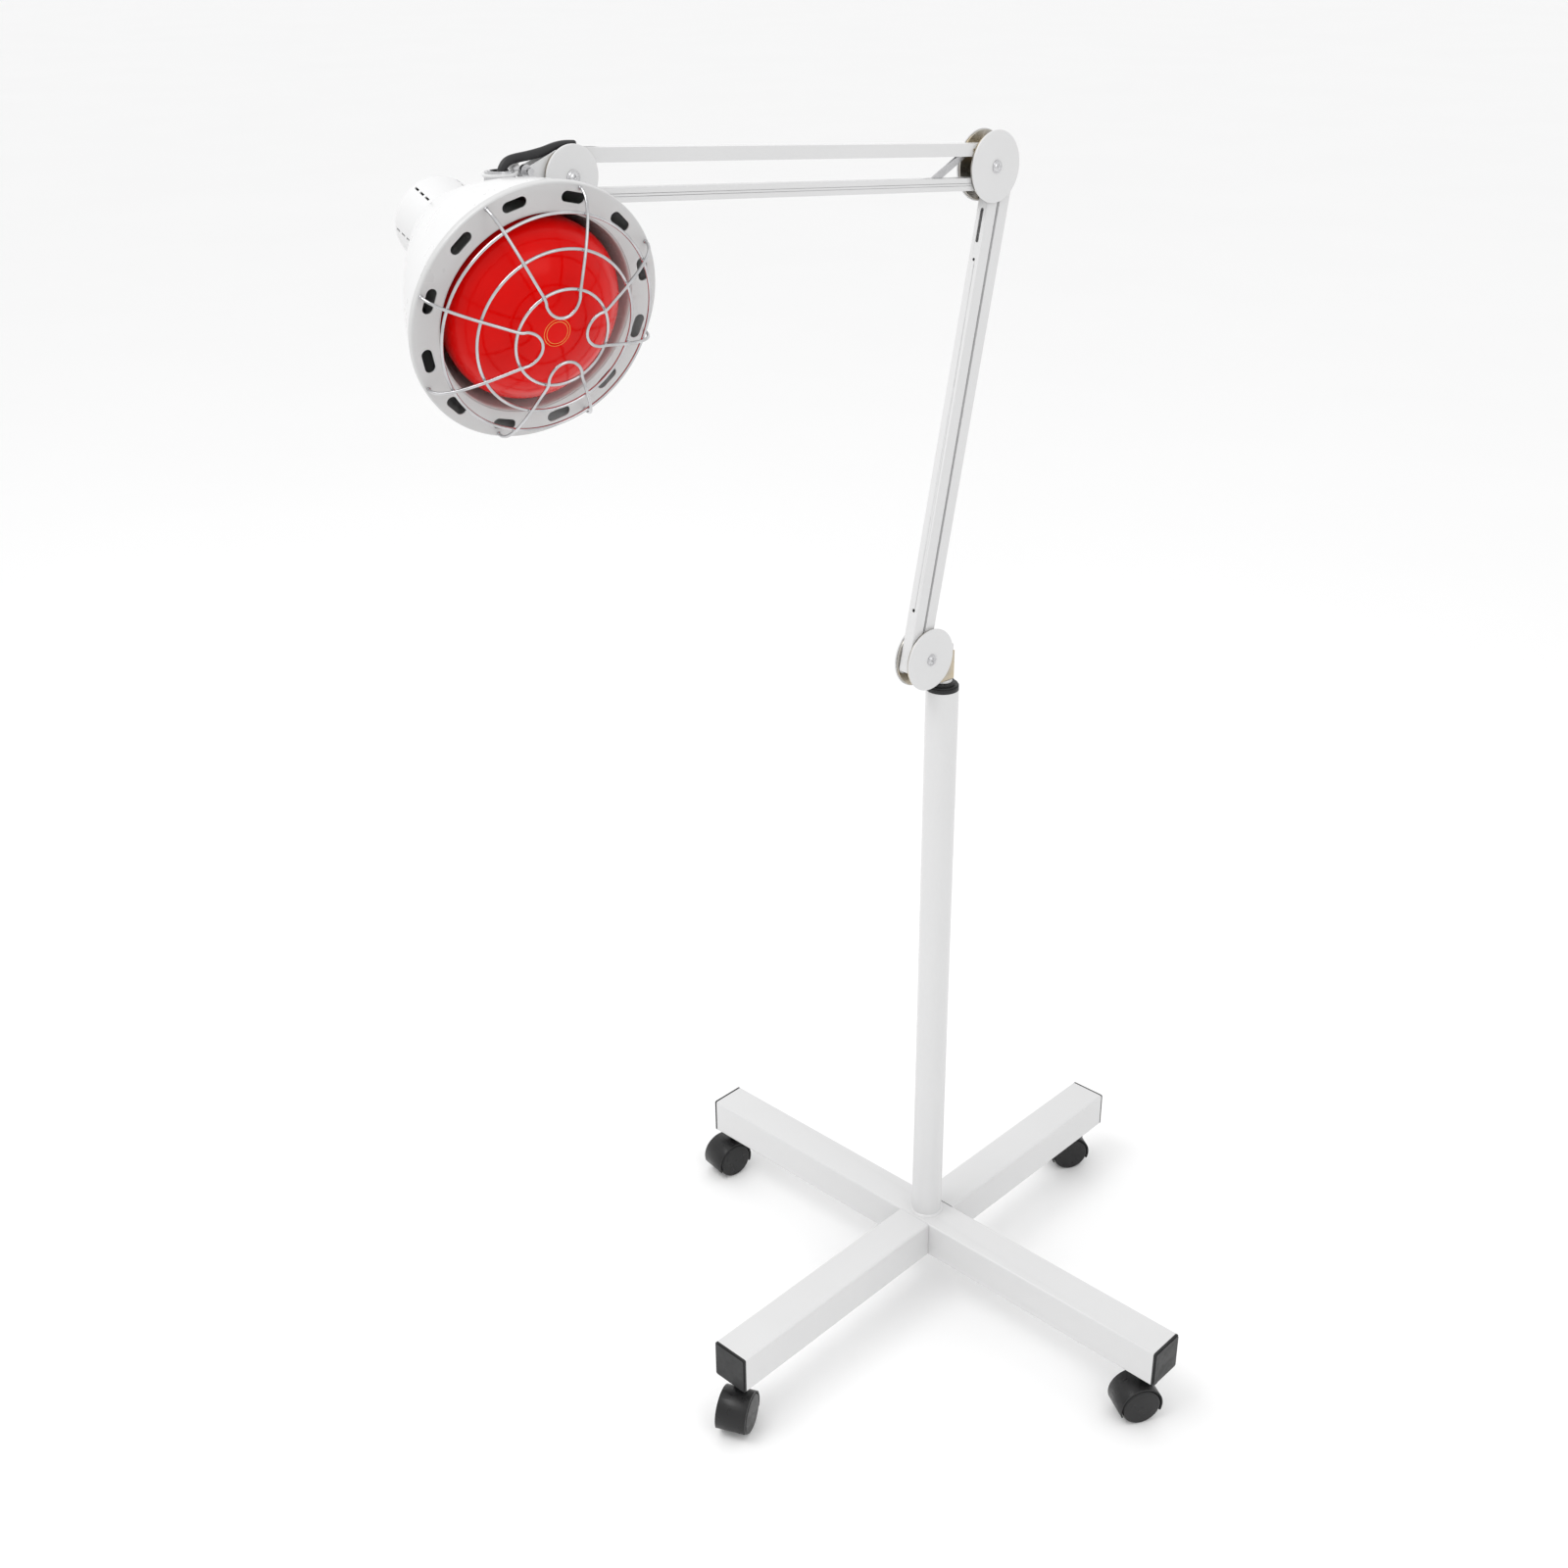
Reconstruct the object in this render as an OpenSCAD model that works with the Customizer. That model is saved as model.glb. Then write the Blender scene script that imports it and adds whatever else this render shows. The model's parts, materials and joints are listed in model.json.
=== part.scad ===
// Infrared therapy lamp on a rolling stand: cross base on castors, round pole,
// two parallelogram arms and a caged reflector lamp. Millimetres, +Z up.
// Origin on the floor under the pole axis. The arm points near -Y.

/* [Base] */
// outer width of the square base tube
tube_w = 40; // [30:1:50]
// wall of the base tube
tube_t = 1.5; // [1:0.5:3]
// outer corner radius of the base tube
tube_r = 2; // [1:0.5:4]
// height of the underside of the base tube above the floor
base_z = 53; // [45:1:80]
// length of the one-piece base tube
long_len = 600; // [400:5:800]
// distance from the pole axis to the open end of each half tube
half_reach = 294; // [200:1:400]
// distance from a tube end to its castor stem
castor_inset = 13; // [12:1:60]
// thickness of the flange of an end cap
cap_t = 3; // [2:0.5:6]

/* [Castors] */
// wheel radius
wheel_r = 20; // [18:1:38]
// width over both wheels
castor_w = 32.8; // [28:0.1:50]
// width of the body between the two wheels
castor_web = 11.6; // [10:0.1:20]
// distance from the swivel axis to the axle
trail = 14; // [10:1:25]
// trail direction of the front castor
swivel_front = -65; // [-180:1:180]
// trail direction of the right castor
swivel_right = -121; // [-180:1:180]
// trail direction of the left castor
swivel_left = -99; // [-180:1:180]
// trail direction of the rear castor
swivel_rear = -123; // [-180:1:180]

/* [Pole] */
// outer radius of the pole
pole_r = 15.5; // [12:0.5:20]
// wall of the pole tube
pole_t = 1.5; // [1:0.5:3]
// length of the pole
pole_len = 602; // [400:1:900]
// radius of the swivel post
post_r = 6; // [5:0.5:10]

/* [Arms] */
// direction of the arm about the pole axis at rest
arm_dir = 266.15; // [0:0.05:360]
// centre of the first elbow, out from the pole axis
elbow1_u = 25.85; // [15:0.05:50]
// height of the centre of the first elbow
elbow1_z = 733.5; // [600:0.5:900]
// pivot to pivot length of the lower arm
lower_len = 425; // [300:1:600]
// lean of the lower arm back from upright at rest
lower_lean = 12; // [-40:1:18]
// distance between the two pivots of the lower arm
lower_gap = 24; // [20:0.5:30]
// direction of the line through the two lower pivots
lower_line = -41.1; // [-60:0.1:-20]
// pivot to pivot length of the upper arm
upper_len = 417; // [300:1:600]
// rise of the upper arm above level at rest
upper_rise = 4.79; // [-40:0.01:50]
// distance between the two pivots of the upper arm
upper_gap = 27; // [22:0.5:34]
// in-plane width of a lower arm tube
lower_h = 11.5; // [9:0.5:14]
// in-plane width of an upper arm tube
upper_h = 10; // [8:0.5:14]
// depth of every arm tube
arm_d = 11; // [9:0.5:14]
// wall of every arm tube
arm_t = 1; // [0.8:0.1:2]
// radius of the cover discs of the first two elbows
disc_r = 29; // [24:0.5:35]
// radius of the cover discs of the third elbow
disc3_r = 22; // [18:0.5:30]

/* [Lamp] */
// lamp centre, out from the pole axis along the arm
lamp_u = 468; // [440:1:500]
// lamp centre, sideways from the arm plane
lamp_w = 62; // [50:1:90]
// height of the lamp centre
lamp_z = 1117; // [1000:1:1200]
// direction of the lamp in plan, from the arm direction
lamp_az = 82.2; // [0:0.1:180]
// fall of the lamp axis below level
lamp_dip = 16.2; // [0:0.1:60]
// outer radius of the rim ring
rim_r = 89.2; // [80:0.1:100]
// inner radius of the rim ring
rim_in = 70.3; // [60:0.1:80]
// radius of the bulb at its widest
bulb_r = 62.5; // [47:0.5:65]
// wall of the shade and of the rim ring
sheet_t = 1.2; // [0.8:0.1:2]
// radius of the socket housing behind the shade
can_r = 31; // [25:0.5:40]
// wire diameter of the guard
wire_d = 2.4; // [1.5:0.1:4]
// swivel of the lamp, out from the pole axis along the arm
swivel_u = 448; // [444:0.5:460]

/* [Hidden] */
$fn = 64;
eps = 0.02;
run = 0.05;

CASTOR_NAMES = ["front", "right", "left", "rear"];

half_w = tube_w / 2;
top_z = base_z + tube_w;
seam = 0.3;
stem_r = 4;
socket_r = 6.5;
socket_h = 29.5;
flange_r = 8;
flange_t = 1.5;
bolt_x = 11;
base_bolt_r = 4;
base_bolt_af = 13;
base_bolt_out = 3.4;
pole_bolt_r = 5;
pole_bolt_af = 17;
plug_h = 18;
pole_top = top_z + pole_len;
bush_h = 8;
bush_deep = 45;
post_deep = 39;
plate_in = arm_d / 2 + 0.3;
plate_t = 1.8;
cover_in = plate_in + plate_t + 0.1;
cover_t = 2;
pin_r = 2.5;
bolt_r = 3;
eye_r = 8.5;
lean_dir = 90 + lower_lean;
strap_x = 16;
strap_len = 52;
strap_t = 2;
strap_dir = -25.6;
rivet_r = 1.5;
lead_r = 3.1;
clamp_r = 2.5;
cheek_w = 4.5;
cheek_t = 1.8;

// points in the arm plane are [out from the pole axis, height]
function polar(r, a) = [r * cos(a), r * sin(a)];
elbow1 = [elbow1_u, elbow1_z];
lower_half = polar(lower_gap / 2, lower_line);
lower_foot = [11.8, 2.9];
lower_head = [14.2, 3.1];
upper_end = [8, 0];
lower_mid1 = elbow1 + lower_foot;
lower_mid2 = lower_mid1 + polar(lower_len, lean_dir);
elbow2 = lower_mid2 + lower_head;
upper_mid2 = elbow2 + upper_end;
upper_mid3 = upper_mid2 + polar(upper_len, upper_rise);
upper_half = [0, upper_gap / 2];
elbow3 = upper_mid3 + upper_end;
swivel_rise = 6.1;
swivel_z = elbow3[1] + swivel_rise;
spigot_r = 8;
spigot_t = 1.6;
collar_r = 12;
collar_t = 1.8;
clamp = [swivel_u - 16, swivel_z + 1.7];

// castor places: direction of the leg, distance of the stem, trail direction
long_stem = long_len / 2 - castor_inset;
half_stem = half_reach - castor_inset;
CASTORS = [
    [-90, half_stem, swivel_front], [0, long_stem, swivel_right],
    [180, long_stem, swivel_left], [90, half_stem, swivel_rear]
];

white = [0.93, 0.93, 0.92];
black = [0.06, 0.06, 0.06];
zinc = [0.85, 0.72, 0.42];
steel = [0.72, 0.72, 0.74];

// ---------- placing helpers ----------

module arm_plane() {
    rotate([0, 0, arm_dir]) children();
}

// x runs along direction a in the arm plane, y stays across the plane
module at_pivot(p, a) {
    arm_plane() translate([p[0], 0, p[1]]) rotate([0, -a, 0]) children();
}

// z runs across the arm plane, x and y are out and up
module across(p) {
    arm_plane() translate([p[0], 0, p[1]]) rotate([90, 0, 0]) children();
}

module castor_place(i) {
    c = CASTORS[i];
    rotate([0, 0, c[0]]) translate([c[1], 0, 0]) rotate([0, 0, c[2] - c[0]]) children();
}

// z runs out of the lamp along its axis, the origin is the middle of the rim
module lamp_place() {
    arm_plane() translate([lamp_u, lamp_w, lamp_z]) rotate([0, lamp_dip, lamp_az])
        rotate([0, 90, 0]) rotate([0, 0, 90]) children();
}

// ---------- shape helpers ----------

module rounded_square(w, h, r) {
    square([w - 2 * r, h], center = true);
    square([w, h - 2 * r], center = true);
    for (x = [-1, 1], y = [-1, 1]) {
        translate([x * (w / 2 - r), y * (h / 2 - r)]) circle(r);
    }
}

module base_tube_x(len) {
    rotate([90, 0, 90]) linear_extrude(len) difference() {
        rounded_square(tube_w, tube_w, tube_r);
        square(tube_w - 2 * tube_t, center = true);
    }
}

module obround(len, w) {
    square([len - w, w], center = true);
    for (s = [-1, 1]) {
        translate([s * (len - w) / 2, 0]) circle(w / 2);
    }
}

module hex_nut(af, h, bore) {
    difference() {
        cylinder(h = h, r = af / 2 / cos(30), $fn = 6);
        translate([0, 0, -1]) cylinder(h = h + 2, r = bore);
    }
}

// ---------- base ----------

module half_tube_holes() {
    for (x = [-1, 1]) {
        translate([x * bolt_x, 0, base_z + half_w]) rotate([-90, 0, 0])
            cylinder(h = 60, r = base_bolt_r + 0.2);
    }
}

module long_tube() {
    color(white) difference() {
        translate([-long_len / 2, 0, base_z + half_w]) base_tube_x(long_len);
        translate([0, 0, base_z - 1]) cylinder(h = tube_w + 2, r = pole_bolt_r + 0.1);
        for (x = [-1, 1]) {
            translate([x * long_stem, 0, base_z - 1]) cylinder(h = 5, r = socket_r + run);
        }
        translate([0, -half_w - 5, 0]) half_tube_holes();
    }
}

module half_tube() {
    start = half_w + seam;
    color(white) difference() {
        union() {
            translate([start, 0, base_z + half_w]) base_tube_x(half_reach - start);
            translate([start, -half_w + 1, base_z + 1]) cube([3, tube_w - 2, tube_w - 2]);
        }
        translate([half_stem, 0, base_z - 1]) cylinder(h = 5, r = socket_r + run);
        rotate([0, 0, -90]) half_tube_holes();
    }
}

module front_half_tube() {
    rotate([0, 0, -90]) half_tube();
}

module rear_half_tube() {
    rotate([0, 0, 90]) half_tube();
}

module end_cap() {
    plug = tube_w - 2 * tube_t - 0.2;
    rotate([90, 0, 90]) {
        linear_extrude(cap_t - 1) rounded_square(tube_w, tube_w, tube_r);
        translate([0, 0, cap_t - 1 - eps]) linear_extrude(1 + eps)
            rounded_square(tube_w - 2, tube_w - 2, tube_r);
        translate([0, 0, -5]) linear_extrude(5 + eps) difference() {
            square(plug, center = true);
            square(plug - 3, center = true);
        }
    }
}

module end_caps() {
    reach = [half_reach, long_len / 2, long_len / 2, half_reach];
    color(black) for (i = [0:3]) {
        rotate([0, 0, CASTORS[i][0]]) translate([reach[i], 0, base_z + half_w]) end_cap();
    }
}

module base_bolts() {
    color(steel) for (x = [-1, 1]) {
        translate([x * bolt_x, -half_w - base_bolt_out, base_z + half_w]) rotate([-90, 0, 0]) {
            translate([0, 0, -5.3]) cylinder(h = 5.3, r = base_bolt_af / 2 / cos(30), $fn = 6);
            translate([0, 0, -eps]) cylinder(h = 56, r = base_bolt_r);
        }
    }
}

module base_nuts() {
    color(steel) for (x = [-1, 1]) {
        translate([x * bolt_x, half_w + base_bolt_out, base_z + half_w]) rotate([-90, 0, 0])
            hex_nut(base_bolt_af, 6.5, base_bolt_r + eps);
    }
}

module castor_sockets() {
    color(black) for (i = [0:3]) {
        castor_place(i) difference() {
            translate([0, 0, base_z - flange_t]) {
                cylinder(h = socket_h, r = socket_r);
                cylinder(h = flange_t - eps, r = flange_r);
            }
            translate([0, 0, base_z - flange_t - 0.5]) cylinder(h = socket_h - 1.5, r = stem_r + eps);
        }
    }
}

module castor_stems() {
    color(steel) for (i = [0:3]) {
        castor_place(i) {
            translate([0, 0, 27]) cylinder(h = base_z - 2, r = stem_r);
            translate([0, 0, base_z - 3.2]) cylinder(h = 1.5, r = socket_r);
        }
    }
}

// round pole with a weld bead round its foot
module pole() {
    color(white) translate([0, 0, top_z + eps]) rotate_extrude($fn = 96) polygon([
        [pole_r - pole_t, 0], [pole_r + 1.8, 0], [pole_r + 1.4, 1], [pole_r + 0.5, 1.8], [pole_r, 2.2],
        [pole_r, pole_len], [pole_r - pole_t, pole_len]
    ]);
}

module pole_plug() {
    color(steel) translate([0, 0, top_z + 2 * eps]) difference() {
        cylinder(h = plug_h, r = pole_r - pole_t - eps);
        translate([0, 0, -1]) cylinder(h = plug_h + 2, r = pole_bolt_r + eps);
    }
}

module pole_bolt() {
    color(steel) {
        translate([0, 0, base_z - 6.5]) cylinder(h = 6.4, r = pole_bolt_af / 2 / cos(30), $fn = 6);
        translate([0, 0, base_z - 1]) cylinder(h = tube_w + 13.7, r = pole_bolt_r);
    }
}

module pole_bush() {
    r_in = pole_r - pole_t - eps;
    color(black) difference() {
        translate([0, 0, pole_top]) {
            translate([0, 0, -bush_deep]) cylinder(h = bush_deep + 2 * eps, r = r_in);
            translate([0, 0, 2 * eps]) cylinder(h = 4, r = pole_r - 0.2);
            translate([0, 0, 3]) cylinder(h = 2.6, r = pole_r - 1.2);
            translate([0, 0, 5]) cylinder(h = 3, r = 11.5);
        }
        translate([0, 0, pole_top - post_deep - 1]) cylinder(h = 60, r = post_r + run);
    }
}

// ---------- castors: swivel axis on z, trail along +x ----------

module castor_hood() {
    rotate([90, 0, 0]) difference() {
        translate([0, 0, -castor_w / 2 + 1]) cylinder(h = castor_w - 2, r = wheel_r + 2.3);
        translate([0, 0, -castor_w / 2]) cylinder(h = castor_w, r = wheel_r + 0.7);
        translate([-50, -70, -25]) cube([100, 62, 50]);
    }
}

module castor_body() {
    color(black) difference() {
        union() {
            translate([trail, 0, wheel_r]) castor_hood();
            intersection() {
                translate([trail, 0, wheel_r]) rotate([90, 0, 0])
                    cylinder(h = castor_web, r = wheel_r + 1.5, center = true);
                translate([-20, -10, 12]) cube([80, 20, 40]);
            }
            translate([trail, 0, wheel_r]) rotate([90, 0, 0])
                cylinder(h = castor_web, r = 6.5, center = true);
            translate([0, 0, 26]) cylinder(h = base_z - 3.5 - 26, r = castor_web / 2);
            translate([0, 0, 38]) cylinder(h = base_z - 5.5 - 38, r = 8);
        }
        translate([0, 0, 20]) cylinder(h = 40, r = stem_r + run);
        translate([trail, 0, wheel_r]) rotate([90, 0, 0]) cylinder(h = 60, r = 3.02, center = true);
    }
}

module castor_axle() {
    color(steel) translate([trail, 0, wheel_r]) rotate([90, 0, 0])
        cylinder(h = castor_w - 5, r = 3, center = true);
}

module castor_wheel(side) {
    w = castor_w / 2 - castor_web / 2 - 0.5;
    color(black) translate([trail, side * (castor_web / 2 + 0.5), wheel_r]) rotate([-90 * side, 0, 0])
        rotate_extrude($fn = 96) {
            polygon([
                [3 + run, 0], [6, 0], [6, w - 3.2], [wheel_r - 3.2, w - 3.2], [wheel_r - 3.2, 0],
                [wheel_r - 0.4, 0], [wheel_r, 0.4], [wheel_r, w - 2.2], [wheel_r - 0.8, w - 0.9],
                [wheel_r - 2.2, w - 0.35], [wheel_r - 8, w - 0.1], [0, w], [0, w - 2], [3 + run, w - 2]
            ]);
        }
}

// ---------- arm pieces ----------

module arm_tube(len, h) {
    difference() {
        rotate([90, 0, 0]) translate([0, 0, -arm_d / 2]) linear_extrude(arm_d) {
            translate([0, -h / 2]) square([len, h]);
            circle(h / 2);
            translate([len, 0]) circle(h / 2);
        }
        translate([-h, -arm_d / 2 + arm_t, -h / 2 + arm_t])
            cube([len + 2 * h, arm_d - 2 * arm_t, h - 2 * arm_t]);
        for (x = [0, len]) {
            translate([x, 0, 0]) rotate([90, 0, 0]) cylinder(h = arm_d + 2, r = pin_r + run, center = true);
        }
    }
}

// slot through one wall of a tube: from x0 to x1, on the side s of the tube
module wall_slot(x0, x1, h, s) {
    translate([(x0 + x1) / 2, 0, s * h / 2 - 2]) linear_extrude(4) obround(x1 - x0, 3.4);
}

module pivot_pins(points) {
    color(steel) for (p = points) {
        across(p) {
            cylinder(h = 2 * (plate_in + plate_t) + 1.0, r = pin_r, center = true);
        }
    }
}

// two plates, one each side of the tubes, with holes for the pins and the bolt
module plate_pair(centre, r, points) {
    color(zinc) for (s = [-1, 1]) {
        across([0, 0]) translate([0, 0, s * (plate_in + plate_t / 2)])
            linear_extrude(plate_t, center = true) {
            difference() {
                union() {
                    translate(centre) circle(r, $fn = 96);
                    children();
                }
                translate(centre) circle(bolt_r + eps);
                for (p = points) {
                    translate(p) circle(pin_r + eps);
                }
            }
        }
    }
}

// two pressed discs with a shallow dome, a rolled edge and a hole for the bolt
module cover_pair(centre, r) {
    color(white) for (s = [0, 1]) {
        across(centre) mirror([0, 0, s]) translate([0, 0, cover_in]) rotate_extrude($fn = 120) polygon(concat(
            [[bolt_r + eps, 0.5], [r - 2, 0.5], [r - 2, 0], [r - 0.3, 0]],
            [[r, 0.4], [r, 1.1], [r - 0.4, 1.45]],
            [for (k = [6:-1:1]) [bolt_r + (r - 1 - bolt_r) * k / 6, cover_t + 0.1 - 0.5 * pow(k / 6, 2)]],
            [[bolt_r + eps, cover_t + 0.1]]
        ));
    }
}

module centre_bolt(centre) {
    out = cover_in + cover_t + 0.12;
    color(steel) across(centre) {
        cylinder(h = 2 * out + 3, r = bolt_r, center = true);
        for (s = [0, 1]) {
            mirror([0, 0, s]) translate([0, 0, out]) {
                cylinder(h = 1, r = 4.6);
                translate([0, 0, 1 - eps]) cylinder(h = 1.5, r1 = 4.6, r2 = 3.4);
            }
        }
    }
}

module spring_coil(len) {
    turns = floor(len / 1.4);
    color(steel) rotate([0, 90, 0]) rotate_extrude($fn = 32) {
        polygon(concat(
            [[1.6, 0]], [for (i = [0:2 * turns]) [i % 2 == 0 ? 2.9 : 3.5, i * 0.7]], [[1.6, turns * 1.4]]
        ));
    }
}

module swivel_post() {
    color(white) {
        translate([0, 0, pole_top - post_deep]) cylinder(h = post_deep + bush_h + 3.5, r = post_r);
        translate([0, 0, pole_top + bush_h + 0.3]) cylinder(h = 2.5, r = 9);
        arm_plane() intersection() {
            translate([-7, -plate_in + eps, pole_top + bush_h + 2.5]) cube([19, 2 * (plate_in - eps), 34]);
            translate([5, 0, elbow1_z - 3]) rotate([90, 0, 0]) cylinder(h = 30, r = 29, center = true);
        }
    }
}

module elbow1_plates() {
    low = pole_top + bush_h + 3;
    plate_pair(elbow1, disc_r - 1, [lower_mid1 + lower_half, lower_mid1 - lower_half]) {
        translate([-7, low]) square([17, elbow1_z - low]);
    }
}

module elbow1_pins() {
    pivot_pins([lower_mid1 + lower_half, lower_mid1 - lower_half]);
}

module elbow1_covers() {
    cover_pair(elbow1, disc_r);
}

module elbow1_bolt() {
    centre_bolt(elbow1);
}

module lower_front_tube() {
    color(white) at_pivot(lower_mid1 + lower_half, lean_dir) difference() {
        arm_tube(lower_len, lower_h);
        wall_slot(lower_len - 52, lower_len - 24, lower_h, -1);
        translate([54, 0, -lower_h / 2]) cylinder(h = 4, r = 1.6, center = true);
        translate([lower_len - 66, 0, -lower_h / 2]) cylinder(h = 4, r = 1.3, center = true);
    }
}

module lower_rear_tube() {
    color(white) at_pivot(lower_mid1 - lower_half, lean_dir) arm_tube(lower_len, lower_h);
}

module arm_spring_lower() {
    at_pivot(lower_mid1 + lower_half, lean_dir) translate([lower_len - 200, 0, 0]) spring_coil(130);
}

module elbow2_plates() {
    plate_pair(elbow2, disc_r - 1, concat(
        [lower_mid2 + lower_half, lower_mid2 - lower_half],
        [upper_mid2 + upper_half, upper_mid2 - upper_half]
    ));
}

module elbow2_pins() {
    pivot_pins([
        lower_mid2 + lower_half, lower_mid2 - lower_half, upper_mid2 + upper_half, upper_mid2 - upper_half
    ]);
}

module elbow2_covers() {
    cover_pair(elbow2, disc_r);
}

module elbow2_bolt() {
    centre_bolt(elbow2);
}

module upper_top_tube() {
    color(white) at_pivot(upper_mid2 + upper_half, upper_rise) difference() {
        arm_tube(upper_len, upper_h);
        wall_slot(10, 38, upper_h, -1);
        translate([strap_x, 0, 0]) rotate([90, 0, 0])
            cylinder(h = arm_d + 2, r = rivet_r + eps, center = true);
        translate([upper_len - 20, -lead_r - 0.6, upper_h / 2 - 2]) cube([40, 2 * lead_r + 1.2, 4]);
    }
}

module upper_bottom_tube() {
    color(white) at_pivot(upper_mid2 - upper_half, upper_rise) difference() {
        arm_tube(upper_len, upper_h);
        wall_slot(16, 70, upper_h, 1);
        wall_slot(30, 86, upper_h, -1);
    }
}

module arm_spring_upper() {
    at_pivot(upper_mid2 - upper_half, upper_rise) translate([100, 0, 0]) spring_coil(120);
}

// strap riveted in the top tube, which pulls the spring in the bottom tube
module pull_strap() {
    start = upper_mid2 + upper_half + polar(strap_x, upper_rise);
    color(steel) at_pivot(start, strap_dir) rotate([90, 0, 0]) {
        linear_extrude(strap_t, center = true) difference() {
            union() {
                translate([0, -3]) square([strap_len, 6]);
                circle(3);
                translate([strap_len, 0]) circle(3);
            }
            translate([strap_len, 0]) circle(1.2);
        }
        cylinder(h = arm_d, r = rivet_r, center = true);
    }
}

module elbow3_plates() {
    plate_pair(elbow3, disc3_r - 0.8, [upper_mid3 + upper_half, upper_mid3 - upper_half]);
}

module elbow3_pins() {
    pivot_pins([upper_mid3 + upper_half, upper_mid3 - upper_half]);
}

module elbow3_covers() {
    cover_pair(elbow3, disc3_r);
}

module elbow3_bolt() {
    centre_bolt(elbow3);
}

// ---------- head ----------

module bracket_cheek() {
    e = elbow3;
    end = [swivel_u - 11.2, swivel_z];
    linear_extrude(cheek_t, center = true) difference() {
        union() {
            translate(e) circle(eye_r);
            polygon([
                e + [0, -eye_r], e + [8, -eye_r], end + [-11.3, -5.5], end, end + [0, collar_t],
                end + [-6.3, 2.8], e + [14.5, 16.4], e + [9, 18.5], e + [2, eye_r - 0.3]
            ]);
        }
        translate(e) circle(bolt_r + run);
        translate(clamp) circle(clamp_r + eps);
    }
}

// open channel that turns about the third elbow's bolt, with a collar for the spigot
module head_bracket() {
    color(white) {
        for (s = [-1, 1]) {
            across([0, 0]) translate([0, 0, cheek_w * s]) bracket_cheek();
        }
        arm_plane() translate([0, 0, swivel_z]) linear_extrude(collar_t) difference() {
            union() {
                translate([swivel_u - 13, -5.4]) square([6, 10.8]);
                translate([swivel_u, 0]) circle(collar_r);
            }
            translate([swivel_u, 0]) circle(spigot_r + run);
        }
        across(elbow3) difference() {
            cylinder(h = 2 * plate_in - 0.1, r = 5.5, center = true);
            cylinder(h = 20, r = bolt_r + run, center = true);
        }
    }
}

module clamp_bolt() {
    color(steel) across(clamp) {
        cylinder(h = 27, r = clamp_r, center = true);
        translate([0, 0, -8.4]) cylinder(h = 2.9, r = 4.4);
    }
}

module wing_nut() {
    color(white) across(clamp) rotate([0, 0, -25]) {
        difference() {
            union() {
                translate([0, 0, 5.6]) cylinder(h = 8, r = 4.6);
                translate([0, 0, 12.4]) rotate([90, 0, 0]) linear_extrude(2.8, center = true) {
                    for (x = [-6.6, 6.6]) {
                        translate([x, 3]) circle(4);
                    }
                    translate([-5, -3]) square([10, 4]);
                }
            }
            translate([0, 0, 5]) cylinder(h = 30, r = clamp_r + eps);
        }
    }
}

// tube swept along points p: each ring lies square to the path
function unit(v) = v / norm(v);
function ahead(p, i) = unit(p[min(i + 1, len(p) - 1)] - p[max(i - 1, 0)]);
function sweep_ring(c, t, r, n) =
    let (s = unit(cross(t, abs(t[1]) < 0.9 ? [0, 1, 0] : [1, 0, 0])), u = cross(s, t))
    [for (k = [0:n - 1]) c + r * (cos(360 * k / n) * s + sin(360 * k / n) * u)];
module swept(p, r, n) {
    m = len(p);
    rings = [for (i = [0:m - 1]) each sweep_ring(p[i], ahead(p, i), r, n)];
    sides = [
        for (i = [0:m - 2], k = [0:n - 1])
            let (a = i * n + k, b = i * n + (k + 1) % n) [a, b, b + n, a + n]
    ];
    caps = [[for (k = [n - 1:-1:0]) k], [for (k = [0:n - 1]) (m - 1) * n + k]];
    polyhedron(concat(rings), concat(sides, caps));
}

// middle line of the lead from the third elbow into the spigot: out, across, up
LEAD = [
    [386, 0, 1209.8], [391, 0, 1210.3], [396, 0, 1210.4], [401, 0, 1210], [407, 0, 1208.9],
    [413, -0.2, 1207.8], [419, -0.3, 1207], [425, -0.4, 1206.4], [430.5, -0.4, 1206], [435, -0.3, 1205.6],
    [439.3, -0.2, 1204.9], [442.8, -0.1, 1203.2], [445.6, 0, 1199.7], [447.2, 0, 1195.4], [447.9, 0, 1191],
    [448, 0, 1187], [448, 0, 1183]
];

module lamp_lead() {
    color(black) arm_plane() swept(LEAD, lead_r, 12);
}

// outer radius of the shade at depth d behind the rim
function shade_r(d) = 88 - 0.082 * pow(d, 1.355);
shade_end = 116;
module shade_envelope(grow) {
    rotate_extrude($fn = 120) polygon(concat(
        [[0, -1], [88 + grow, -1]],
        [for (d = [6:10:shade_end]) [shade_r(d) + grow, -d]],
        [[0, -shade_end]]
    ));
}

module shade() {
    color(white) difference() {
        lamp_place() rotate_extrude($fn = 120) polygon(concat(
            [[88 - sheet_t, -sheet_t - eps], [88, -sheet_t - eps]],
            [for (d = [6:10:shade_end]) [shade_r(d), -d]],
            [[can_r + eps, -shade_end], [can_r + eps, -shade_end + sheet_t]],
            [for (d = [shade_end - 10:-10:6]) [shade_r(d) - sheet_t * 1.2, -d]]
        ));
        arm_plane() translate([swivel_u, 0, swivel_z - 30]) cylinder(h = 40, r = spigot_r - spigot_t);
    }
}

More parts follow.
